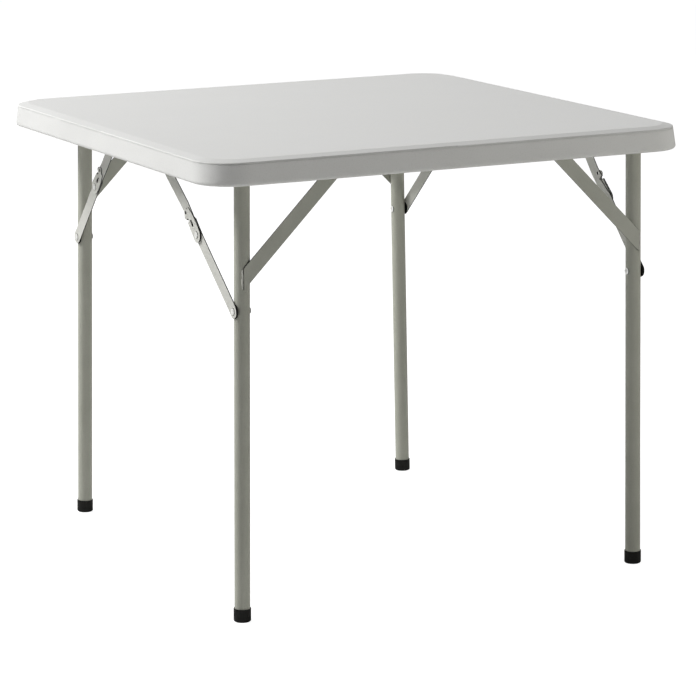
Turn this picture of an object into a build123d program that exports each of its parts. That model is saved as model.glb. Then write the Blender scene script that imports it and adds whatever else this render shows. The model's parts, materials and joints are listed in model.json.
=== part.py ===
from build123d import *
from math import atan2, cos, degrees, radians, sin, sqrt, tan
import os

# Overall size
table_height = 740.0
top_side = 860.0
top_corner_radius = 62.0
hinge_drop = 34.0

# Tabletop shell
top_depth = 40.0
skirt_draft = 2.5
crown_rise = 3.0
crown_slope = 14.5
rim_corner_radius = 68.0
top_edge_roll = 2.5
crease_width = 1.2
crease_depth = 0.8
skirt_edge_roll = 5.0
skirt_wall = 12.0
panel_depth = 17.0
skin = 3.2
rim_skin = 3.4
vent_radius = 3.0
dimple_rows = 6
dimple_base_radius = 12.0
dimple_tip_radius = 5.0

# Hinge saddles and straps
wide_saddle_inset = 102.4
narrow_saddle_inset = 71.7
saddle_width = 44.0
saddle_length = 52.0
strap_width = 30.0
strap_thickness = 1.5
strap_screw_offset = 20.0
hinge_fit = 0.1

# Leg frames
tube_radius = 12.5
tube_wall = 1.5
weld_gap = 0.05
wide_hinge_inset = 52.0
narrow_hinge_inset = 64.0
wide_leg_inset = 77.6
narrow_leg_step = 45.7
wide_splay = 9.0
narrow_splay = 14.6
bar_overhang = 15.6
wide_lean_deg = 0.0
narrow_lean_deg = 0.5
cap_thickness = 2.5
plug_length = 8.0
plug_fit = 0.05

# Foot caps
foot_radius = 14.0
foot_height = 21.0
foot_floor = 4.0
foot_roll = 3.0
foot_trim = 0.4

# Diagonal braces
brace_width = 24.0
brace_thickness = 2.0
brace_drop = 153.5
brace_overhang = 3.0
brace_head = 9.0
flat_depth = 0.5

# Folding stays
rivet_drop = 208.0
wide_lower_length = 154.5
narrow_lower_length = 148.0
wide_fold_deg = 87.5
arm_width = 22.6
arm_thickness = 1.6
wide_lower_set = 5.3
wide_upper_set = 6.0
narrow_lower_set = 4.2
narrow_upper_set = 2.6
stay_gap = 0.2
pivot_pad = 12.0
plate_pad = 58.0
shoulder_shares = ((-0.5, -1.0), (-0.5, 1.0), (2.1, 1.0), (3.45, 0.35), (3.45, -0.3), (2.7, -0.6))

# Lock plates
plate_thickness = 1.4
plate_outline_shares = (
    (0.0, -1.1),
    (1.4, -1.15),
    (3.0, -1.02),
    (4.4, -0.7),
    (4.6, 0.2),
    (4.2, 0.9),
    (3.0, 1.0),
    (0.0, 1.1),
)
plate_length_shares = {"wide": 1.0, "narrow": 0.8}
plate_end_share = 1.1
tip_radius_share = 0.55
tip_place_shares = (4.4, 0.4)
hook_radius_share = 0.5
hook_place_shares = (4.0, 0.78)
notch_radius_share = 0.26
notch_place_shares = (3.2, 0.72)
key_radius_share = 0.27
key_place_shares = (1.85, 0.0)
key_slot_shares = (0.8, 0.38)
key_slot_place_shares = (2.1, 0.0)
eye_radius_share = 0.25
eye_place_shares = (4.4, 0.43)

# Rivets, pins and spacers
shank_radius = 3.0
pivot_fit = 0.05
head_radius = 5.25
head_thickness = 1.6
head_edge = 0.6
inner_head_radius = 5.75
inner_head_thickness = 0.8
inner_hollow_radius = 1.75
inner_hollow_depth = 1.0
pin_head_radius = 4.5
pin_head_thickness = 1.2
spacer_radius = 11.5
spacer_thickness = 1.5

# Stay brackets
bracket_thickness = 2.4
bracket_radius = 12.0
bracket_reach = 26.0
bracket_screw_x = 14.0
bracket_screw_y = 7.5

# Screws
screw_radius = 2.0
screw_length = 12.0
screw_head_radius = 4.0
screw_head_thickness = 2.0
screw_fit = 0.05
cross_length = 4.4
cross_width = 0.9
cross_depth = 1.0
screw_post_radius = 6.0

# Derived levels, places and radii
hinge_height = table_height - hinge_drop
rivet_height = hinge_height - rivet_drop
half_top = top_side / 2
wide_hinge_y = wide_hinge_inset - half_top
narrow_hinge_y = half_top - narrow_hinge_inset
wide_leg_hinge_x = half_top - wide_leg_inset
narrow_leg_hinge_x = wide_leg_hinge_x - narrow_leg_step
rim_side = top_side - 2 * skirt_draft
rolled_side = rim_side - 2 * top_edge_roll
rolled_corner_radius = rim_corner_radius - top_edge_roll
flat_side = rolled_side - 2 * crown_slope
flat_corner_radius = rolled_corner_radius - crown_slope
crease_side = rim_side - 2 * crease_depth
skirt_bottom = table_height - top_depth
crown_base = table_height - crown_rise
crease_height = crown_base - top_edge_roll - crease_width
underside = table_height - panel_depth
recess_side = top_side - 2 * skirt_wall
recess_corner_radius = top_corner_radius - skirt_wall
dimple_pitch = recess_side / (dimple_rows + 1)
bore_radius = tube_radius - tube_wall
saddle_radius = tube_radius + hinge_fit
flat_offset = tube_radius - flat_depth
pivot_hole_radius = shank_radius + pivot_fit
half_arm = arm_width / 2

# Distances outward from the leg axis, in stacking order along the pivots of each frame
lower_start = flat_offset + spacer_thickness
stacks = {}
for frame, lower_set, upper_set in (
    ("wide", wide_lower_set, wide_upper_set),
    ("narrow", narrow_lower_set, narrow_upper_set),
):
    lower_joint = lower_start + lower_set
    split = lower_joint + arm_thickness
    upper_joint = split + stay_gap
    upper_stop = upper_joint + upper_set
    stacks[frame] = {
        "lower": lower_joint,
        "split": split,
        "upper": upper_joint,
        "plate": upper_joint + arm_thickness,
        "head": upper_joint + arm_thickness + plate_thickness,
        "stop": upper_stop,
        "bracket": upper_stop - stay_gap - bracket_thickness,
    }

# Frame table: hinge y, folding direction, leg x at hinge and floor, bar reach, lean, saddle x
frames = {
    "wide": (
        wide_hinge_y,
        1,
        wide_leg_hinge_x,
        wide_leg_hinge_x + wide_splay,
        wide_leg_hinge_x + bar_overhang,
        wide_lean_deg,
        wide_leg_hinge_x - wide_saddle_inset,
    ),
    "narrow": (
        narrow_hinge_y,
        -1,
        narrow_leg_hinge_x,
        narrow_leg_hinge_x + narrow_splay,
        narrow_leg_hinge_x + bar_overhang,
        narrow_lean_deg,
        narrow_leg_hinge_x - narrow_saddle_inset,
    ),
}
sides = {"left": -1, "right": 1}
hook_signs = {("wide", "left"): -1, ("wide", "right"): 1, ("narrow", "left"): 1, ("narrow", "right"): -1}


def leg_x(frame, height):
    hinge_y, inward, x_hinge, x_floor, reach, lean, saddle_x = frames[frame]
    return x_hinge + (x_floor - x_hinge) * (hinge_height - height) / hinge_height


def leg_y(frame, height):
    hinge_y, inward, x_hinge, x_floor, reach, lean, saddle_x = frames[frame]
    return hinge_y - inward * tan(radians(lean)) * (hinge_height - height)


def solve_stay(frame, lower_length, fold_deg):
    """Upper arm length, slope and anchor drop that let the two arms fold flat in line."""
    lean = radians(frames[frame][5])
    arm_drop = (hinge_height - rivet_height) / cos(lean)
    start = (-arm_drop * sin(lean), -arm_drop * cos(lean))
    turn = radians(fold_deg)
    stop = (
        start[0] * cos(turn) - start[1] * sin(turn),
        start[0] * sin(turn) + start[1] * cos(turn),
    )
    step = (stop[0] - start[0], stop[1] - start[1])
    square = step[0] ** 2 + step[1] ** 2
    offset = (4 * lower_length**2 - square) / (2 * step[0] + 4 * lower_length)
    span = 2 * lower_length - offset
    slope = atan2(step[1], step[0] + offset)
    return span - lower_length, slope


wide_upper_length, wide_slope = solve_stay("wide", wide_lower_length, wide_fold_deg)
narrow_fold_deg = 90.0 + narrow_lean_deg
narrow_upper_length, narrow_slope = solve_stay("narrow", narrow_lower_length, narrow_fold_deg)
stays = {
    "wide": (wide_lower_length, wide_upper_length, wide_slope),
    "narrow": (narrow_lower_length, narrow_upper_length, narrow_slope),
}


def lean_normal(frame):
    """Outward normal of the plane that holds a leg frame."""
    lean = radians(frames[frame][5])
    return Vector(0, -frames[frame][1] * cos(lean), sin(lean))


def cut_flat(frame, x, height, wide, tall):
    """Press a flat seat for a brace into a tube."""
    normal = lean_normal(frame)
    seat = Vector(x, leg_y(frame, height), height) + normal * flat_offset
    with BuildSketch(Plane(origin=seat, x_dir=(1, 0, 0), z_dir=normal)) as outline:
        Rectangle(wide, tall)
    extrude(outline.sketch, amount=2 * flat_depth, mode=Mode.SUBTRACT)


def stay_point(frame, distance):
    """Height and y of a point on the open stay, measured along it from the leg rivet."""
    slope = stays[frame][2]
    inward = frames[frame][1]
    y = leg_y(frame, rivet_height) + inward * distance * cos(slope)
    return y, rivet_height + distance * sin(slope)


def face_plane(frame, side, distance, outward):
    """Plane in the flat of a stay: local x runs up along it, local y across it."""
    y, z = stay_point(frame, distance)
    slope = stays[frame][2]
    inward = frames[frame][1]
    x = side * (leg_x(frame, rivet_height) + outward)
    return Plane(origin=(x, y, z), x_dir=(0, inward * cos(slope), sin(slope)), z_dir=(inward, 0, 0))


def edge_plane(frame, side, distance):
    """Plane along a stay seen from its edge: local x up along it, local y outward from the leg."""
    y, z = stay_point(frame, distance)
    slope = stays[frame][2]
    inward = frames[frame][1]
    x = side * leg_x(frame, rivet_height)
    normal = (0, side * sin(slope), -side * inward * cos(slope))
    return Plane(origin=(x, y, z), x_dir=(0, inward * cos(slope), sin(slope)), z_dir=normal)


def pivot_plane(frame, side, distance):
    """Plane across a pivot: its normal points outward from the leg."""
    y, z = stay_point(frame, distance)
    x = side * leg_x(frame, rivet_height)
    return Plane(origin=(x, y, z), x_dir=(0, 1, 0), z_dir=(side, 0, 0))


def disc(plane, radius, start, stop, mode=Mode.ADD):
    with BuildSketch(plane.offset(start)) as outline:
        Circle(radius)
    extrude(outline.sketch, amount=stop - start, mode=mode)


def at_share(frame, shares, hook=1):
    """Point on a lock plate, measured along it from the joint and across it."""
    return (plate_length_shares[frame] * shares[0] * half_arm, shares[1] * half_arm * hook)


def set_profile(plane, first, low_end, high_end, last, low, high):
    """Keep only a strip of even thickness whose middle steps from one level to another."""
    with BuildSketch(plane) as outline:
        with BuildLine():
            Polyline(
                (first, low),
                (low_end, low),
                (high_end, high),
                (last, high),
                (last, high + arm_thickness),
                (high_end, high + arm_thickness),
                (low_end, low + arm_thickness),
                (first, low + arm_thickness),
                close=True,
            )
        make_face()
    extrude(outline.sketch, amount=2 * arm_width, both=True, mode=Mode.INTERSECT)


# Tabletop
screw_places = []
for frame in frames:
    for side in sides.values():
        span = stays[frame][0] + stays[frame][1]
        anchor_y, anchor_z = stay_point(frame, span)
        for step in (-1, 1):
            place_x = side * (leg_x(frame, rivet_height) + stacks[frame]["bracket"] + bracket_screw_x)
            screw_places.append((place_x, anchor_y + step * bracket_screw_y))

with BuildPart() as hollow:
    with BuildSketch(Plane.XY.offset(skirt_bottom + skin)):
        RectangleRounded(rim_side - 2 * skin, rim_side - 2 * skin, rim_corner_radius - skin)
    extrude(amount=crown_base - rim_skin - skirt_bottom - skin)
    with BuildSketch(Plane.XY.offset(crown_base - rim_skin)):
        RectangleRounded(flat_side - 2 * skin, flat_side - 2 * skin, flat_corner_radius - skin)
    extrude(amount=crown_rise + rim_skin - skin)
    with BuildSketch(Plane.XY.offset(skirt_bottom)):
        RectangleRounded(recess_side + 2 * skin, recess_side + 2 * skin, recess_corner_radius + skin)
    extrude(amount=underside + skin - skirt_bottom, mode=Mode.SUBTRACT)
    with Locations((0, 0, underside)):
        with GridLocations(dimple_pitch, dimple_pitch, dimple_rows, dimple_rows):
            Cone(
                dimple_base_radius + skin,
                dimple_tip_radius + skin,
                panel_depth,
                align=(Align.CENTER, Align.CENTER, Align.MIN),
                mode=Mode.SUBTRACT,
            )
    with BuildSketch(Plane.XY.offset(underside)):
        with Locations(*screw_places):
            Circle(screw_post_radius)
    extrude(amount=panel_depth, mode=Mode.SUBTRACT)

with BuildPart() as tabletop:
    with BuildSketch(Plane.XY.offset(skirt_bottom)):
        RectangleRounded(top_side, top_side, top_corner_radius)
    with BuildSketch(Plane.XY.offset(crown_base)):
        RectangleRounded(rim_side, rim_side, rim_corner_radius)
    loft(ruled=True)
    fillet(tabletop.faces().sort_by(Axis.Z)[-1].edges(), top_edge_roll)
    fillet(tabletop.faces().sort_by(Axis.Z)[0].edges(), skirt_edge_roll)
    with BuildSketch(Plane.XY.offset(crown_base)):
        RectangleRounded(rolled_side, rolled_side, rolled_corner_radius)
    with BuildSketch(Plane.XY.offset(table_height)):
        RectangleRounded(flat_side, flat_side, flat_corner_radius)
    loft(ruled=True)
    with BuildSketch(Plane.XY.offset(crease_height)):
        Rectangle(2 * top_side, 2 * top_side)
        RectangleRounded(crease_side, crease_side, rim_corner_radius - crease_depth, mode=Mode.SUBTRACT)
    extrude(amount=crease_width, mode=Mode.SUBTRACT)
    add(hollow.part, mode=Mode.SUBTRACT)
    with BuildSketch(Plane.XY.offset(skirt_bottom)):
        RectangleRounded(recess_side, recess_side, recess_corner_radius)
    extrude(amount=underside - skirt_bottom, mode=Mode.SUBTRACT)
    with Locations((0, 0, underside)):
        with GridLocations(dimple_pitch, dimple_pitch, dimple_rows, dimple_rows):
            Cone(
                dimple_base_radius,
                dimple_tip_radius,
                panel_depth - 2 * skin,
                align=(Align.CENTER, Align.CENTER, Align.MIN),
                mode=Mode.SUBTRACT,
            )
    with BuildSketch(Plane.XY.offset(hinge_height)):
        for frame in frames:
            saddle_x = frames[frame][6]
            with Locations((-saddle_x, frames[frame][0]), (saddle_x, frames[frame][0])):
                Rectangle(saddle_width, saddle_length)
    extrude(amount=underside - hinge_height)
    for frame in frames:
        with BuildSketch(Plane.YZ):
            with Locations((frames[frame][0], hinge_height)):
                Circle(saddle_radius)
        extrude(amount=recess_side / 2 - skirt_wall, both=True, mode=Mode.SUBTRACT)
    with BuildSketch(Plane.XY.offset(hinge_height)):
        for frame in frames:
            for side in sides.values():
                for step in (-1, 1):
                    with Locations((side * frames[frame][6], frames[frame][0] + step * strap_screw_offset)):
                        Circle(screw_radius + screw_fit)
    extrude(amount=screw_length - strap_thickness, mode=Mode.SUBTRACT)
    with BuildSketch(Plane.XY.offset(underside)):
        with Locations(*screw_places):
            Circle(screw_radius + screw_fit)
    extrude(amount=screw_length - bracket_thickness, mode=Mode.SUBTRACT)
    with BuildSketch(Plane.XY.offset(underside)):
        Circle(vent_radius)
    extrude(amount=2 * skin, mode=Mode.SUBTRACT)


# Crossbars and their end caps
def crossbar(frame):
    hinge_y, inward, x_hinge, x_floor, reach, lean, saddle_x = frames[frame]
    axis_plane = Plane(origin=(0, hinge_y, hinge_height), x_dir=(0, 1, 0), z_dir=(1, 0, 0))
    flat_x = leg_x(frame, hinge_height - brace_drop) - brace_drop
    with BuildPart() as bar:
        with BuildSketch(axis_plane):
            Circle(tube_radius)
            Circle(bore_radius, mode=Mode.SUBTRACT)
        extrude(amount=reach, both=True)
        for way in (-1, 1):
            cut_flat(frame, way * flat_x, hinge_height, 2 * brace_width, 2 * tube_radius)
    return bar.part


def crossbar_caps(frame):
    hinge_y, inward, x_hinge, x_floor, reach, lean, saddle_x = frames[frame]
    with BuildPart() as caps:
        for side in sides.values():
            tip = (side * reach, hinge_y, hinge_height)
            end_plane = Plane(origin=tip, x_dir=(0, 1, 0), z_dir=(side, 0, 0))
            disc(end_plane, tube_radius, 0, cap_thickness)
            disc(end_plane, bore_radius - plug_fit, -plug_length, 0)
    return caps.part


# Legs
def leg_plane(frame, side):
    foot = Vector(side * leg_x(frame, 0), leg_y(frame, 0), 0)
    head = Vector(side * leg_x(frame, hinge_height), leg_y(frame, hinge_height), hinge_height)
    return Plane(origin=foot, x_dir=(1, 0, 0), z_dir=head - foot), (head - foot).length


def leg(frame, side):
    hinge_y, inward, x_hinge, x_floor, reach, lean, saddle_x = frames[frame]
    axis_plane, length = leg_plane(frame, side)
    rivet_x = side * leg_x(frame, rivet_height)
    rivet_y = leg_y(frame, rivet_height)
    brace_z = hinge_height - brace_drop
    with BuildPart() as tube:
        with BuildSketch(axis_plane.offset(foot_floor)):
            Circle(tube_radius)
            Circle(bore_radius, mode=Mode.SUBTRACT)
        extrude(amount=length - foot_floor)
        bar_plane = Plane(origin=(rivet_x, hinge_y, hinge_height), x_dir=(0, 1, 0), z_dir=(1, 0, 0))
        with BuildSketch(bar_plane):
            Circle(tube_radius + weld_gap)
        extrude(amount=4 * tube_radius, both=True, mode=Mode.SUBTRACT)
        cut_flat(frame, side * leg_x(frame, brace_z), brace_z, 2 * tube_radius, 2 * brace_width)
        for way in (-1, 1):
            with Locations((rivet_x + way * flat_offset, rivet_y, rivet_height)):
                Box(
                    2 * flat_depth,
                    2 * tube_radius,
                    2 * (spacer_radius if way == side else inner_head_radius),
                    align=(Align.MIN if way > 0 else Align.MAX, Align.CENTER, Align.CENTER),
                    mode=Mode.SUBTRACT,
                )
        plane = pivot_plane(frame, side, 0)
        disc(plane, pivot_hole_radius, -2 * tube_radius, 2 * tube_radius, Mode.SUBTRACT)
    return tube.part


# Foot caps
def foot(frame, side):
    axis_plane, length = leg_plane(frame, side)
    with BuildPart() as cap:
        with BuildSketch(axis_plane.offset(-foot_trim)):
            Circle(foot_radius)
        extrude(amount=foot_height + foot_trim)
        fillet(cap.edges().sort_by(Axis.Z)[0], foot_roll)
        with BuildSketch(axis_plane.offset(foot_floor)):
            Circle(tube_radius + plug_fit)
        extrude(amount=foot_height, mode=Mode.SUBTRACT)
        with Locations(axis_plane.origin):
            Box(
                4 * foot_radius,
                4 * foot_radius,
                foot_radius,
                align=(Align.CENTER, Align.CENTER, Align.MAX),
                mode=Mode.SUBTRACT,
            )
    return cap.part


# Diagonal braces
def brace(frame, side):
    hinge_y, inward, x_hinge, x_floor, reach, lean, saddle_x = frames[frame]
    low_z = hinge_height - brace_drop
    low_x = leg_x(frame, low_z)
    normal = lean_normal(frame)
    corner = Vector(side * low_x, leg_y(frame, low_z), low_z) + normal * flat_offset
    bar_plane = Plane(origin=corner, x_dir=(-side, 0, 0), z_dir=normal * (-side * inward))
    with BuildPart() as bar:
        with BuildSketch(bar_plane):
            with Locations((brace_drop / 2, brace_drop / 2)):
                Rectangle(2 * brace_drop, brace_width, rotation=45)
            with Locations((-brace_overhang, -brace_width)):
                Rectangle(
                    2 * brace_drop,
                    brace_drop + brace_head + brace_width,
                    align=(Align.MIN, Align.MIN),
                    mode=Mode.INTERSECT,
                )
        extrude(amount=-side * inward * brace_thickness)
    return bar.part


# Folding stays
def lower_arm(frame, side, hook):
    length = stays[frame][0]
    with BuildPart() as arm:
        with BuildSketch(face_plane(frame, side, 0, lower_start)):
            with Locations((length / 2, 0)):
                SlotCenterToCenter(length, arm_width)
            with BuildLine():
                shoulder = [(length + a * half_arm, -hook * b * half_arm) for a, b in shoulder_shares]
                Polyline(*shoulder, close=True)
            make_face()
            with Locations((0, 0), (length, 0)):
                Circle(pivot_hole_radius, mode=Mode.SUBTRACT)
        extrude(amount=2 * arm_width, both=True)
        set_profile(
            edge_plane(frame, side, 0),
            -arm_width,
            pivot_pad,
            length - pivot_pad,
            length + 3 * arm_width,
            lower_start,
            stacks[frame]["lower"],
        )
    return arm.part


def cut_plate_holes(frame, hook):
    with Locations(at_share(frame, notch_place_shares, hook)):
        Circle(notch_radius_share * half_arm, mode=Mode.SUBTRACT)
    notch_mouth_shares = (notch_place_shares[0], notch_place_shares[1] + notch_radius_share)
    with Locations(at_share(frame, notch_mouth_shares, hook)):
        Rectangle(
            2 * notch_radius_share * half_arm,
            2 * notch_radius_share * half_arm,
            mode=Mode.SUBTRACT,
        )
    with Locations(at_share(frame, key_place_shares)):
        Circle(key_radius_share * half_arm, mode=Mode.SUBTRACT)
    with Locations(at_share(frame, key_slot_place_shares)):
        SlotCenterToCenter(key_slot_shares[0] * half_arm, key_slot_shares[1] * half_arm, mode=Mode.SUBTRACT)
    with Locations(at_share(frame, eye_place_shares, hook)):
        Circle(eye_radius_share * half_arm, mode=Mode.SUBTRACT)


def upper_arm(frame, side, hook):
    lower_length, length, slope = stays[frame]
    with BuildPart() as arm:
        with BuildSketch(face_plane(frame, side, lower_length, stacks[frame]["upper"])):
            with Locations((length / 2, 0)):
                SlotCenterToCenter(length, arm_width)
            with Locations((0, 0), (length, 0)):
                Circle(pivot_hole_radius, mode=Mode.SUBTRACT)
            cut_plate_holes(frame, hook)
        extrude(amount=2 * arm_width, both=True)
        set_profile(
            edge_plane(frame, side, lower_length),
            -arm_width,
            plate_pad,
            length - pivot_pad,
            length + arm_width,
            stacks[frame]["upper"],
            stacks[frame]["stop"],
        )
    return arm.part


def lock_plate(frame, side, hook):
    lower_length = stays[frame][0]
    inward = frames[frame][1]
    with BuildPart() as plate:
        with BuildSketch(face_plane(frame, side, lower_length, stacks[frame]["plate"])):
            with BuildLine():
                Polyline(*[at_share(frame, shares, hook) for shares in plate_outline_shares], close=True)
            make_face()
            Circle(plate_end_share * half_arm)
            with Locations(at_share(frame, tip_place_shares, hook)):
                Circle(tip_radius_share * half_arm)
            with Locations(at_share(frame, hook_place_shares, hook)):
                Circle(hook_radius_share * half_arm)
            cut_plate_holes(frame, hook)
            Circle(pivot_hole_radius, mode=Mode.SUBTRACT)
        extrude(amount=side * inward * plate_thickness)
    return plate.part


# Rivets, pins and spacers
def joint_rivet_head(frame, side):
    plane = pivot_plane(frame, side, stays[frame][0])
    seat = stacks[frame]["head"]
    with BuildPart() as rivet:
        disc(plane, head_radius, seat, seat + head_thickness)
        chamfer(rivet.faces().sort_by(Axis.X)[-1 if side > 0 else 0].edges(), head_edge)
        disc(plane, shank_radius, stacks[frame]["upper"], seat)
    return rivet.part


def joint_rivet_tail(frame, side):
    plane = pivot_plane(frame, side, stays[frame][0])
    seat = stacks[frame]["lower"]
    with BuildPart() as rivet:
        disc(plane, head_radius, seat - head_thickness, seat)
        chamfer(rivet.faces().sort_by(Axis.X)[0 if side > 0 else -1].edges(), head_edge)
        disc(plane, shank_radius, seat, stacks[frame]["split"])
    return rivet.part


def leg_rivet(frame, side):
    plane = pivot_plane(frame, side, 0)
    outer = lower_start + arm_thickness
    with BuildPart() as rivet:
        disc(plane, head_radius, outer, outer + head_thickness)
        chamfer(rivet.faces().sort_by(Axis.X)[-1 if side > 0 else 0].edges(), head_edge)
        disc(plane, shank_radius, -flat_offset, outer)
        hollow_start = -flat_offset - inner_head_thickness
        disc(plane, inner_head_radius, hollow_start, -flat_offset)
        disc(plane, inner_hollow_radius, hollow_start, hollow_start + inner_hollow_depth, Mode.SUBTRACT)
    return rivet.part


def spacer(frame, side):
    plane = pivot_plane(frame, side, 0)
    with BuildPart() as washer:
        disc(plane, spacer_radius, flat_offset, lower_start)
        disc(plane, pivot_hole_radius, flat_offset, lower_start, Mode.SUBTRACT)
    return washer.part


def bracket_pin(frame, side):
    plane = pivot_plane(frame, side, stays[frame][0] + stays[frame][1])
    inner = stacks[frame]["bracket"]
    outer = stacks[frame]["stop"] + arm_thickness
    with BuildPart() as pin:
        disc(plane, head_radius, outer, outer + head_thickness)
        chamfer(pin.faces().sort_by(Axis.X)[-1 if side > 0 else 0].edges(), head_edge)
        disc(plane, shank_radius, inner, outer)
        disc(plane, pin_head_radius, inner - pin_head_thickness, inner)
    return pin.part


# Stay brackets
def bracket(frame, side):
    span = stays[frame][0] + stays[frame][1]
    anchor_y, anchor_z = stay_point(frame, span)
    rise = underside - anchor_z
    plane = pivot_plane(frame, side, span)
    inner = stacks[frame]["bracket"]
    base_x = side * (leg_x(frame, rivet_height) + inner)
    with BuildPart() as angle:
        with BuildSketch(plane.offset(inner)) as outline:
            Circle(bracket_radius)
            with Locations((0, side * rise / 2)):
                Rectangle(2 * bracket_radius, rise)
        extrude(amount=bracket_thickness)
        with Locations((base_x, anchor_y, underside)):
            Box(
                bracket_reach,
                2 * bracket_radius,
                bracket_thickness,
                align=(Align.MIN if side > 0 else Align.MAX, Align.CENTER, Align.MAX),
            )
        disc(plane, pivot_hole_radius, inner, inner + bracket_thickness, Mode.SUBTRACT)
        for step in (-1, 1):
            place = (base_x + side * bracket_screw_x, anchor_y + step * bracket_screw_y, underside)
            with Locations(place):
                Cylinder(
                    screw_radius + screw_fit,
                    2 * bracket_thickness,
                    align=(Align.CENTER, Align.CENTER, Align.MAX),
                    mode=Mode.SUBTRACT,
                )
    return angle.part


# Hinge straps
def hinge_strap(frame, side):
    hinge_y = frames[frame][0]
    plane = Plane(origin=(side * frames[frame][6], hinge_y, hinge_height), x_dir=(0, 1, 0), z_dir=(1, 0, 0))
    with BuildPart() as strap:
        with BuildSketch(plane):
            Circle(saddle_radius + strap_thickness)
            Rectangle(saddle_length, 2 * strap_thickness)
            Circle(saddle_radius, mode=Mode.SUBTRACT)
            Rectangle(saddle_length, saddle_length, align=(Align.CENTER, Align.MIN), mode=Mode.SUBTRACT)
        extrude(amount=strap_width / 2, both=True)
        with Locations(
            (side * frames[frame][6], hinge_y - strap_screw_offset, hinge_height),
            (side * frames[frame][6], hinge_y + strap_screw_offset, hinge_height),
        ):
            Cylinder(
                screw_radius + screw_fit,
                2 * strap_thickness,
                align=(Align.CENTER, Align.CENTER, Align.MAX),
                mode=Mode.SUBTRACT,
            )
    return strap.part


# Screws
def screws(places, seat):
    with BuildPart() as group:
        with BuildSketch(Plane.XY.offset(seat - screw_head_thickness)):
            with Locations(*places):
                Circle(screw_head_radius)
        extrude(amount=screw_head_thickness)
        with BuildSketch(Plane.XY.offset(seat)):
            with Locations(*places):
                Circle(screw_radius)
        extrude(amount=screw_length)
        with BuildSketch(Plane.XY.offset(seat - screw_head_thickness)):
            with Locations(*places):
                Rectangle(cross_length, cross_width)
                Rectangle(cross_width, cross_length)
        extrude(amount=cross_depth, mode=Mode.SUBTRACT)
    return group.part


# Gather the pieces under their names
pieces = {"tabletop": tabletop.part}
strap_places = []
for frame in frames:
    pieces[frame + "_crossbar"] = crossbar(frame)
    pieces[frame + "_crossbar_caps"] = crossbar_caps(frame)
    for side_name, side in sides.items():
        hook = hook_signs[(frame, side_name)]
        stay = frame + "_" + side_name
        pieces[frame + "_leg_" + side_name] = leg(frame, side)
        pieces[frame + "_brace_" + side_name] = brace(frame, side)
        pieces[frame + "_foot_" + side_name] = foot(frame, side)
        pieces[frame + "_hinge_strap_" + side_name] = hinge_strap(frame, side)
        pieces[stay + "_lower_arm"] = lower_arm(frame, side, hook)
        pieces[stay + "_upper_arm"] = upper_arm(frame, side, hook)
        pieces[stay + "_lock_plate"] = lock_plate(frame, side, hook)
        pieces[stay + "_joint_rivet_head"] = joint_rivet_head(frame, side)
        pieces[stay + "_joint_rivet_tail"] = joint_rivet_tail(frame, side)
        pieces[stay + "_leg_rivet"] = leg_rivet(frame, side)
        pieces[stay + "_spacer"] = spacer(frame, side)
        pieces[stay + "_bracket"] = bracket(frame, side)
        pieces[stay + "_bracket_pin"] = bracket_pin(frame, side)
        for step in (-1, 1):
            strap_places.append((side * frames[frame][6], frames[frame][0] + step * strap_screw_offset))
pieces["strap_screws"] = screws(strap_places, hinge_height - strap_thickness)
pieces["bracket_screws"] = screws(screw_places, underside - bracket_thickness)

# Export every piece as its own file
os.makedirs("parts", exist_ok=True)
for name, piece in pieces.items():
    piece.label = name
    export_step(piece, "parts/" + name + ".step")

# Stay angles in degrees and pivot places for the two frames
for frame in stays:
    lower_length, upper_length, slope = stays[frame]
    print(frame, lower_length, upper_length, degrees(slope), leg_x(frame, rivet_height))
    print(frame, stay_point(frame, lower_length), stay_point(frame, lower_length + upper_length))
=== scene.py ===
import json
import math

import bmesh
import bpy
from mathutils import Matrix, Vector


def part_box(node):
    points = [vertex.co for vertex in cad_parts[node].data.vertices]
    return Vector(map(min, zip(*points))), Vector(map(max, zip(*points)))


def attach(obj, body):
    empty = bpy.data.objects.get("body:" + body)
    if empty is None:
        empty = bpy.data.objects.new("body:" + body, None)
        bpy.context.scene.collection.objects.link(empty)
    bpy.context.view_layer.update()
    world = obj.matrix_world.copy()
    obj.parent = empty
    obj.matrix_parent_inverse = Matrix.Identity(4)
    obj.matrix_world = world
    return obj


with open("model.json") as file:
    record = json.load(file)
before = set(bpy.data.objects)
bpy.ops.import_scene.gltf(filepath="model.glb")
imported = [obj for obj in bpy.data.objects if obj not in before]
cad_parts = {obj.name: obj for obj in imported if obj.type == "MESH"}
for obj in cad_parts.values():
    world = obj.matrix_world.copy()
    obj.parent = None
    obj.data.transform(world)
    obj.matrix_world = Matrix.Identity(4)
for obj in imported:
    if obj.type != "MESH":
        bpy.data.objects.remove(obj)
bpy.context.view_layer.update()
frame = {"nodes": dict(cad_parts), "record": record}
nodes = frame["nodes"]
scene = bpy.context.scene

# Tones of the finishes, each from its darker to its paler patches
white = (1.0, 1.0, 1.0)
plastic_tones = ((0.745, 0.745, 0.73), (0.78, 0.78, 0.765))
plastic_speck = (0.955, 0.955, 0.95)
tube_tones = ((0.415, 0.42, 0.36), (0.46, 0.465, 0.405))
arm_tones = ((0.57, 0.57, 0.53), (0.62, 0.62, 0.58))
brace_tones = ((0.435, 0.44, 0.385), (0.48, 0.485, 0.43))
weld_tones = ((0.58, 0.58, 0.53), (0.66, 0.66, 0.61))
paint_fleck = (0.9, 0.9, 0.9)
paint_chip = (0.3, 0.3, 0.28)
# Near-black painted shade on the thin cut edges of the arms and braces, standing in for the shade they
# lie in
painted_edge_shade = (0.012, 0.012, 0.011)
black_tones = ((0.005, 0.005, 0.0045), (0.014, 0.014, 0.0125))
strip_tones = ((0.42, 0.42, 0.4), (0.6, 0.6, 0.58))
rivet_tones = ((0.86, 0.86, 0.84), (0.94, 0.94, 0.92))
screw_tones = ((0.4, 0.4, 0.38), (0.58, 0.58, 0.56))

# Noise values between which a finish turns from one patch to the other
patch_start = 0.3
patch_end = 0.7
black_patch_start = 0.35
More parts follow.
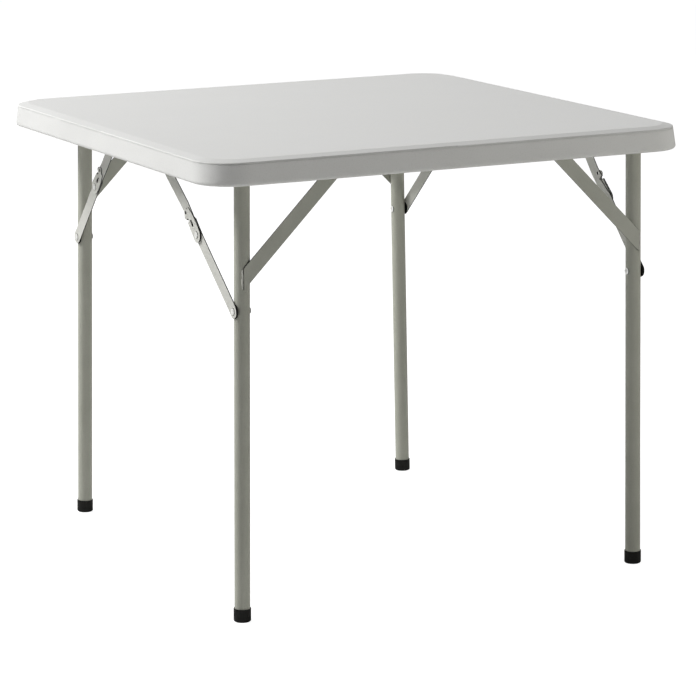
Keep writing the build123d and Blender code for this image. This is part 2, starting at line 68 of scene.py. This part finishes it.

# Share of the normal across flat stock, from its cut edges (full painted shade) to its faces (no painted
# shade)
edge_share = 0.93
face_share = 0.985

# Rims of the carried-over nodes
arm_rim = 0.00015
brace_rim = 0.0002
rim_angle = 40.0
merge_distance = 0.000002

# Beads
bead_sides = 10
bead_tip_share = 0.35
bead_tip_steps = 2.0

# Legs and braces of the CAD frame
tube_radius = 0.0125
hinge_height = 0.706
brace_drop = 0.1535

# Weld round the head of each leg
head_weld_radius = 0.0013
head_weld_steps = 40
head_weld_gap = 0.0005
head_weld_least_reach = 0.0008

# Weld down the outer end of each brace
seam_radius = 0.0016
seam_steps = 14
seam_top = 0.012
seam_length = 0.031
seam_offset = 0.0046
seam_wander = 0.0004
seam_depth = 0.0121

# Weld along the upper rim of each brace
rim_weld_radius = 0.0013
rim_weld_steps = 8
rim_weld_start = -0.003
rim_weld_length = 0.0135
rim_weld_rise = 0.01705
rim_weld_gap = 0.0004
rim_weld_lift = 0.0001

# Painted shade: black rings round the rivet heads, standing in for the shadowed gaps there
shade_steps = 32
outer_shade_depth = 0.0016
outer_shade_ring = 0.0054
outer_shade_radius = 0.00045
inner_shade_depth = 0.0008
inner_shade_ring = 0.0059
inner_shade_radius = 0.0005

# Studio: levels are the brightness of a white surface
floor_half = 30.0
floor_drop = 0.0004
floor_bounce = (0.74, 0.74, 0.73)
floor_tone = (0.4, 0.4, 0.4)
floor_glow = 0.92
wall_level = 1.0
ceiling_level = 0.1
wall_top = 0.22
ceiling_start = 0.48
room_level = 0.18
lamps = (
    ("key", (-3.4, 2.2, 4.2), (-0.1, 0.0, 0.6), 2.2, 1.09, white),
    ("fill", (1.45, -1.6, 0.68), (0.35, -0.43, 0.72), 0.7, 0.3, (1.0, 0.985, 0.92)),
)

# Camera, fitted to the photograph
camera_place = (-2.3801375, -4.7398903, 1.4473115)
camera_yaw = 0.46869268
camera_pitch = 0.20697382
camera_roll = -0.00627069
focal_pixels = 3167.4917
picture_side = 696.0
sensor_width = 36.0
clip_end = 100.0


# Node material helpers
def new_material(name):
    material = bpy.data.materials.new(name)
    material.use_nodes = True
    tree = material.node_tree
    tree.nodes.clear()
    output = tree.nodes.new("ShaderNodeOutputMaterial")
    shader = tree.nodes.new("ShaderNodeBsdfPrincipled")
    tree.links.new(shader.outputs["BSDF"], output.inputs["Surface"])
    return material, tree, shader


def object_coordinates(tree, stretch=(1.0, 1.0, 1.0)):
    coordinates = tree.nodes.new("ShaderNodeTexCoord")
    mapping = tree.nodes.new("ShaderNodeMapping")
    mapping.inputs["Scale"].default_value = stretch
    tree.links.new(coordinates.outputs["Object"], mapping.inputs["Vector"])
    return mapping.outputs["Vector"]


def noise(tree, vector, scale, detail, roughness=0.5):
    texture = tree.nodes.new("ShaderNodeTexNoise")
    texture.inputs["Scale"].default_value = scale
    texture.inputs["Detail"].default_value = detail
    texture.inputs["Roughness"].default_value = roughness
    tree.links.new(vector, texture.inputs["Vector"])
    return texture.outputs["Fac"]


def ramp(tree, value, *stops):
    node = tree.nodes.new("ShaderNodeValToRGB")
    elements = node.color_ramp.elements
    for element, (place, colour) in zip(elements, stops):
        element.position = place
        element.color = (*colour, 1.0)
    tree.links.new(value, node.inputs["Fac"])
    return node.outputs["Color"]


def patches(tree, cloud, tones, start=patch_start):
    """Colour that drifts between the two tones."""
    return ramp(tree, cloud, (start, tones[0]), (patch_end, tones[1]))


def span(tree, value, low_in, high_in, low, high):
    node = tree.nodes.new("ShaderNodeMapRange")
    node.inputs["From Min"].default_value = low_in
    node.inputs["From Max"].default_value = high_in
    node.inputs["To Min"].default_value = low
    node.inputs["To Max"].default_value = high
    tree.links.new(value, node.inputs["Value"])
    return node.outputs["Result"]


def roughen(tree, shader, cloud, low, high):
    """Gloss that drifts with the patches of colour."""
    rough = span(tree, cloud, patch_start, patch_end, low, high)
    tree.links.new(rough, shader.inputs["Roughness"])


def mix_colours(tree, factor, first, second, blend_type="MIX"):
    node = tree.nodes.new("ShaderNodeMix")
    node.data_type = "RGBA"
    node.blend_type = blend_type
    for key, kind, value in (("Factor", "VALUE", factor), ("A", "RGBA", first), ("B", "RGBA", second)):
        socket = [s for s in node.inputs if s.name == key and s.type == kind][0]
        if isinstance(value, bpy.types.NodeSocket):
            tree.links.new(value, socket)
        elif key == "Factor":
            socket.default_value = value
        else:
            socket.default_value = (*value, 1.0)
    return [s for s in node.outputs if s.type == "RGBA"][0]


def bump(tree, shader, height, distance, strength, under=None):
    node = tree.nodes.new("ShaderNodeBump")
    node.inputs["Distance"].default_value = distance
    node.inputs["Strength"].default_value = strength
    tree.links.new(height, node.inputs["Height"])
    if under is not None:
        tree.links.new(under, node.inputs["Normal"])
    tree.links.new(node.outputs["Normal"], shader.inputs["Normal"])
    return node.outputs["Normal"]


# Materials
def moulded_plastic():
    material, tree, shader = new_material("moulded_plastic")
    place = object_coordinates(tree)
    cloud = noise(tree, place, scale=5.0, detail=4.0, roughness=0.55)
    speck = noise(tree, place, scale=420.0, detail=2.0, roughness=0.6)
    specks = ramp(tree, speck, (0.3, plastic_speck), (0.5, white))
    colour = mix_colours(tree, 1.0, patches(tree, cloud, plastic_tones), specks, "MULTIPLY")
    tree.links.new(colour, shader.inputs["Base Color"])
    roughen(tree, shader, cloud, 0.36, 0.44)
    shader.inputs["Specular IOR Level"].default_value = 0.5
    pebble = noise(tree, place, scale=650.0, detail=2.0)
    fine = bump(tree, shader, pebble, distance=0.0002, strength=0.25)
    wave = noise(tree, place, scale=16.0, detail=2.0, roughness=0.4)
    bump(tree, shader, wave, distance=0.002, strength=0.08, under=fine)
    return material


def powder_paint(name, tones, edge_shade_axis=None):
    """Satin powder coat; on flat stock the thin cut edges, across the given axis, get a near-black
    painted shade.
    """
    material, tree, shader = new_material(name)
    place = object_coordinates(tree)
    cloud = noise(tree, place, scale=14.0, detail=4.0, roughness=0.6)
    fleck = noise(tree, place, scale=900.0, detail=2.0)
    flecks = ramp(tree, fleck, (0.32, paint_fleck), (0.5, white))
    colour = mix_colours(tree, 1.0, patches(tree, cloud, tones), flecks, "MULTIPLY")
    chip = noise(tree, place, scale=70.0, detail=6.0, roughness=0.7)
    chips = ramp(tree, chip, (0.74, (0.0, 0.0, 0.0)), (0.76, white))
    colour = mix_colours(tree, chips, colour, paint_chip)
    # Painted shade: cut edges of flat stock turn near-black where the normal leaves the given axis
    if edge_shade_axis:
        coordinates = tree.nodes.new("ShaderNodeTexCoord")
        parts = tree.nodes.new("ShaderNodeSeparateXYZ")
        tree.links.new(coordinates.outputs["Normal"], parts.inputs[0])
        size = tree.nodes.new("ShaderNodeMath")
        size.operation = "ABSOLUTE"
        tree.links.new(parts.outputs[edge_shade_axis], size.inputs[0])
        face = span(tree, size.outputs[0], edge_share, face_share, 0.0, 1.0)
        colour = mix_colours(tree, face, painted_edge_shade, colour)
    tree.links.new(colour, shader.inputs["Base Color"])
    roughen(tree, shader, cloud, 0.38, 0.5)
    shader.inputs["Specular IOR Level"].default_value = 0.4
    orange_peel = noise(tree, place, scale=700.0, detail=2.0)
    bump(tree, shader, orange_peel, distance=0.00015, strength=0.3)
    return material


def black_plastic():
    material, tree, shader = new_material("black_plastic")
    place = object_coordinates(tree)
    cloud = noise(tree, place, scale=60.0, detail=5.0, roughness=0.6)
    colour = patches(tree, cloud, black_tones, black_patch_start)
    tree.links.new(colour, shader.inputs["Base Color"])
    roughen(tree, shader, cloud, 0.5, 0.66)
    shader.inputs["Specular IOR Level"].default_value = 0.2
    grain = noise(tree, place, scale=800.0, detail=2.0)
    bump(tree, shader, grain, distance=0.0002, strength=0.3)
    return material


def zinc_plate(name, tones, metallic=0.9):
    material, tree, shader = new_material(name)
    place = object_coordinates(tree, (1.0, 1.0, 6.0))
    cloud = noise(tree, place, scale=120.0, detail=5.0, roughness=0.65)
    tree.links.new(patches(tree, cloud, tones), shader.inputs["Base Color"])
    roughen(tree, shader, cloud, 0.28, 0.45)
    shader.inputs["Metallic"].default_value = metallic
    grain = noise(tree, place, scale=1500.0, detail=2.0)
    bump(tree, shader, grain, distance=0.0001, strength=0.3)
    return material


materials = {
    "plastic": moulded_plastic(),
    "paint": powder_paint("tube_paint", tube_tones),
    "black_plastic": black_plastic(),
    "plated_steel": zinc_plate("plated_strip", strip_tones),
    "rivet_steel": zinc_plate("plated_rivet", rivet_tones, metallic=0.45),
    "screw_steel": zinc_plate("plated_screw", screw_tones),
}
# Arms and braces carry painted shade on their cut edges
arm_paint = powder_paint("arm_paint", arm_tones, "X")
brace_paint = powder_paint("brace_paint", brace_tones, "Y")
weld_paint = powder_paint("weld_paint", weld_tones)


# Finish of every carried-over node, and rounded rims on the arms, lock plates and braces
def soften(node, width):
    """Rounds the sharp rims of a carried-over node."""
    weld = node.modifiers.new("weld", "WELD")
    weld.merge_threshold = merge_distance
    edge = node.modifiers.new("edge", "BEVEL")
    edge.width = width
    edge.segments = 2
    edge.limit_method = "ANGLE"
    edge.angle_limit = math.radians(rim_angle)
    edge.harden_normals = False


for part in frame["record"]["subparts"]:
    name = part["node"]
    finish = materials[part["material_slot"]]
    if "_arm" in name or "_lock_plate" in name:
        finish = arm_paint
        soften(nodes[name], arm_rim)
    if "_brace_" in name:
        finish = brace_paint
        soften(nodes[name], brace_rim)
    nodes[name].data.materials.clear()
    nodes[name].data.materials.append(finish)


# Weld beads and painted shade rings
def bead(name, body, finish, points, radius, closed=False, lumps=1.0):
    """Rounded run along the points, lumpy where it is weld metal."""
    mesh = bpy.data.meshes.new(name)
    work = bmesh.new()
    rings = []
    count = len(points)
    for i, point in enumerate(points):
        before = points[i - 1] if i or closed else point
        after = points[(i + 1) % count] if i < count - 1 or closed else point
        along = (after - before).normalized()
        side = along.orthogonal().normalized()
        other = along.cross(side)
        from_tip = min(i, count - 1 - i) / bead_tip_steps
        end = 1.0 if closed else min(1.0, bead_tip_share + (1.0 - bead_tip_share) * from_tip)
        lump = 0.22 * math.sin(i * 2.1) + 0.12 * math.sin(i * 0.9 + 1.3)
        swell = radius * end * (1.0 + lumps * lump)
        ring = []
        for j in range(bead_sides):
            turn = 2.0 * math.pi * j / bead_sides
            ring.append(work.verts.new(point + (side * math.cos(turn) + other * math.sin(turn)) * swell))
        rings.append(ring)
    steps = count if closed else count - 1
    for i in range(steps):
        first, second = rings[i], rings[(i + 1) % count]
        for j in range(bead_sides):
            k = (j + 1) % bead_sides
            work.faces.new((first[j], first[k], second[k], second[j]))
    if not closed:
        work.faces.new(rings[0][::-1])
        work.faces.new(rings[-1])
    bmesh.ops.recalc_face_normals(work, faces=work.faces)
    work.to_mesh(mesh)
    work.free()
    mesh.polygons.foreach_set("use_smooth", [True] * len(mesh.polygons))
    piece = bpy.data.objects.new(name, mesh)
    scene.collection.objects.link(piece)
    piece.data.materials.append(finish)
    smooth = piece.modifiers.new("smooth", "SUBSURF")
    smooth.levels = 1
    smooth.render_levels = 1
    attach(piece, body)


def painted_shade_ring(name, body, node, outward, depth, ring_radius, radius):
    """Black ring of painted shade, set back from the end of the node that outward (1 or -1) points to.
    """
    low_corner, high_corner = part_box(node)
    y, z = (low_corner[1] + high_corner[1]) / 2, (low_corner[2] + high_corner[2]) / 2
    x = high_corner[0] - depth if outward > 0 else low_corner[0] + depth
    ring = []
    for i in range(shade_steps):
        turn = 2.0 * math.pi * i / shade_steps
        ring.append(Vector((x, y + ring_radius * math.cos(turn), z + ring_radius * math.sin(turn))))
    # The black plastic finish here paints shade; the ring is not a part of the table
    bead(name, body, materials["black_plastic"], ring, radius, closed=True, lumps=0.0)


def tube_reach(offset):
    """Distance from the middle plane of a tube to its surface, that far to the side."""
    return math.sqrt(max(tube_radius * tube_radius - offset * offset, 0.0))


# Frame, y of its hinge, x of its legs there, their splay, their lean in degrees, and the outward way
for which, hinge_y, leg_x, splay, lean, away in (
    ("wide", -0.378, 0.3524, 0.009, 0.0, -1),
    ("narrow", 0.366, 0.3067, 0.0146, 0.5, 1),
):
    body = which + "_frame"
    for side_name, way in (("left", -1), ("right", 1)):
        place_name = which + "_" + side_name

        def axis_point(z):
            down = hinge_height - z
            y = hinge_y + away * math.tan(math.radians(lean)) * down
            return Vector((way * (leg_x + splay * down / hinge_height), y, z))

        # Around the head of the leg, where it meets the crossbar
        joint = []
        for i in range(head_weld_steps):
            turn = 2.0 * math.pi * i / head_weld_steps
            x, y = tube_radius * math.cos(turn), tube_radius * math.sin(turn)
            reach = tube_reach(y)
            head = axis_point(hinge_height - reach)
            z = hinge_height - max(reach, head_weld_least_reach) - head_weld_gap
            joint.append(Vector((head.x + x, hinge_y + y, z)))
        tube_paint = materials["paint"]
        bead("weld_head_" + place_name, body, tube_paint, joint, head_weld_radius, closed=True)

        # Down the outer end of the brace
        low = hinge_height - brace_drop
        seam = []
        for i in range(seam_steps):
            z = low + seam_top - seam_length * i / (seam_steps - 1)
            centre = axis_point(z)
            x = centre.x + way * (seam_offset + seam_wander * math.sin(i))
            seam.append(Vector((x, centre.y + away * seam_depth, z)))
        bead("weld_brace_low_" + place_name, body, weld_paint, seam, seam_radius)

        # Along the upper rim of the brace, where it crosses the tube
        rim = []
        for i in range(rim_weld_steps):
            inside = rim_weld_start + rim_weld_length * i / (rim_weld_steps - 1)
            z = low + inside + rim_weld_rise + rim_weld_gap
            centre = axis_point(z)
            y = centre.y + away * (tube_reach(inside) + rim_weld_lift)
            rim.append(Vector((centre.x - way * inside, y, z)))
        bead("weld_brace_rim_" + place_name, body, brace_paint, rim, rim_weld_radius)

        # Painted shade rings around the rivet heads
        outer_shade = (outer_shade_depth, outer_shade_ring, outer_shade_radius)
        inner_shade = (inner_shade_depth, inner_shade_ring, inner_shade_radius)
        head = place_name + "_joint_rivet_head"
        shank = place_name + "_leg_rivet"
        painted_shade_ring(head + "_gap", place_name + "_upper_stay", head, way, *outer_shade)
        painted_shade_ring(shank + "_gap", body, shank, way, *outer_shade)
        painted_shade_ring(place_name + "_inner_shade", body, shank, -way, *inner_shade)


# Studio
def blend(tree, factor, first, second):
    node = tree.nodes.new("ShaderNodeMixShader")
    tree.links.new(factor, node.inputs[0])
    tree.links.new(first.outputs[0], node.inputs[1])
    tree.links.new(second.outputs[0], node.inputs[2])
    return node


def diffuse(tree, colour):
    node = tree.nodes.new("ShaderNodeBsdfDiffuse")
    node.inputs["Color"].default_value = (*colour, 1.0)
    return node


def floor_material():
    """White to the eye, pale as a bounce, and clear from below."""
    material = bpy.data.materials.new("studio_floor")
    material.use_nodes = True
    tree = material.node_tree
    tree.nodes.clear()
    output = tree.nodes.new("ShaderNodeOutputMaterial")
    path = tree.nodes.new("ShaderNodeLightPath")
    facing = tree.nodes.new("ShaderNodeNewGeometry")
    clear = tree.nodes.new("ShaderNodeBsdfTransparent")
    glow = tree.nodes.new("ShaderNodeEmission")
    glow.inputs["Strength"].default_value = floor_glow
    seen = tree.nodes.new("ShaderNodeAddShader")
    tree.links.new(diffuse(tree, floor_tone).outputs[0], seen.inputs[0])
    tree.links.new(glow.outputs[0], seen.inputs[1])
    front = blend(tree, path.outputs["Is Camera Ray"], diffuse(tree, floor_bounce), seen)
    sided = blend(tree, facing.outputs["Backfacing"], front, clear)
    tree.links.new(sided.outputs[0], output.inputs["Surface"])
    return material


def background(tree, level):
    node = tree.nodes.new("ShaderNodeBackground")
    node.inputs["Color"].default_value = (*white, 1.0)
    node.inputs["Strength"].default_value = level
    return node


def studio_world():
    """White to the eye, a dim room for soft light, and a pale wall that mirrors near the horizon."""
    world = bpy.data.worlds.new("studio")
    scene.world = world
    world.use_nodes = True
    tree = world.node_tree
    tree.nodes.clear()
    output = tree.nodes.new("ShaderNodeOutputWorld")
    path = tree.nodes.new("ShaderNodeLightPath")
    direction = tree.nodes.new("ShaderNodeTexCoord")
    parts = tree.nodes.new("ShaderNodeSeparateXYZ")
    tree.links.new(direction.outputs["Generated"], parts.inputs[0])
    height = span(tree, parts.outputs["Z"], wall_top, ceiling_start, 0.0, 1.0)
    wall = blend(tree, height, background(tree, wall_level), background(tree, ceiling_level))
    room = background(tree, room_level)
    soft = blend(tree, path.outputs["Is Glossy Ray"], room, wall)
    seen = tree.nodes.new("ShaderNodeMath")
    seen.operation = "MAXIMUM"
    tree.links.new(path.outputs["Is Camera Ray"], seen.inputs[0])
    tree.links.new(path.outputs["Is Transmission Ray"], seen.inputs[1])
    shown = blend(tree, seen.outputs[0], soft, background(tree, 1.0))
    tree.links.new(shown.outputs[0], output.inputs["Surface"])


def studio():
    mesh = bpy.data.meshes.new("studio_floor")
    corners = ((-1, -1), (1, -1), (1, 1), (-1, 1))
    verts = [(x * floor_half, y * floor_half, -floor_drop) for x, y in corners]
    mesh.from_pydata(verts, [], [(0, 1, 2, 3)])
    floor = bpy.data.objects.new("studio_floor", mesh)
    floor.data.materials.append(floor_material())
    scene.collection.objects.link(floor)
    studio_world()


def softbox(name, place, target, side, level, tint):
    """Square area lamp that gives a surface facing it at the target the stated brightness."""
    reach = Vector(target) - Vector(place)
    lamp = bpy.data.lights.new(name, "AREA")
    lamp.shape = "SQUARE"
    lamp.size = side
    lamp.energy = level * math.pi * math.pi * reach.length_squared
    lamp.color = tint
    thing = bpy.data.objects.new(name, lamp)
    thing.location = place
    thing.rotation_euler = reach.to_track_quat("-Z", "Y").to_euler()
    thing.visible_glossy = False
    scene.collection.objects.link(thing)


def camera():
    flat = math.cos(camera_pitch)
    ahead = Vector((math.sin(camera_yaw) * flat, math.cos(camera_yaw) * flat, -math.sin(camera_pitch)))
    level = Vector((math.cos(camera_yaw), -math.sin(camera_yaw), 0.0))
    above = level.cross(ahead)
    right = level * math.cos(camera_roll) + above * math.sin(camera_roll)
    up = above * math.cos(camera_roll) - level * math.sin(camera_roll)
    lens = bpy.data.cameras.new("camera")
    lens.sensor_width = sensor_width
    lens.lens = focal_pixels * sensor_width / picture_side
    lens.clip_end = clip_end
    eye = bpy.data.objects.new("camera", lens)
    turn = Matrix((right, up, -ahead)).transposed()
    eye.matrix_world = Matrix.Translation(camera_place) @ turn.to_4x4()
    scene.collection.objects.link(eye)
    scene.camera = eye


studio()
for lamp_row in lamps:
    softbox(*lamp_row)
camera()
scene.view_settings.view_transform = "Standard"
